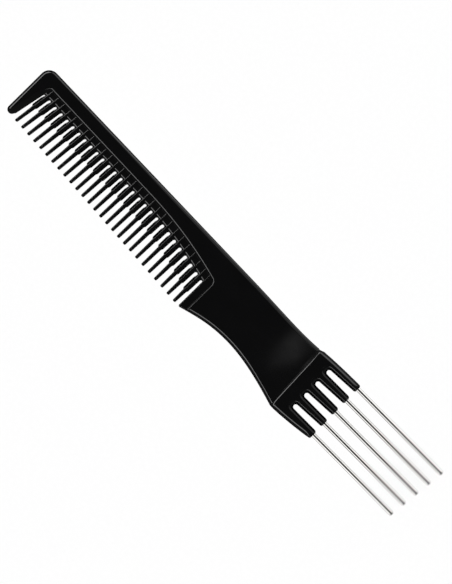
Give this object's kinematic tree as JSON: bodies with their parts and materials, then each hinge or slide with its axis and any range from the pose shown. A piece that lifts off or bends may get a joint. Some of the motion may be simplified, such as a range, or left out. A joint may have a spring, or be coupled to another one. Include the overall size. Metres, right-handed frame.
{
  "type": "hair teasing comb with lift pins",
  "caption": "Flat moulded hair comb with stepped teeth along one edge, a dished handle and a fork of thin steel lift pins at its tail.",
  "frame": {"origin": "middle of the comb's bounding box, on the flat that the fork block lies on", "axes": "+X along the comb towards the pin tips, +Y towards the back of the comb, +Z out of its upper face"},
  "size_m": [0.1974, 0.0286, 0.0054],
  "materials": {
    "comb_plastic": "polished black moulding",
    "pin_steel": "bright drawn stainless steel"
  },
  "bodies": {
    "root": {"comb_body": "comb_plastic", "lift_pin_1": "pin_steel", "lift_pin_2": "pin_steel", "lift_pin_3": "pin_steel", "lift_pin_4": "pin_steel", "lift_pin_5": "pin_steel"}
  },
  "joints": []
}
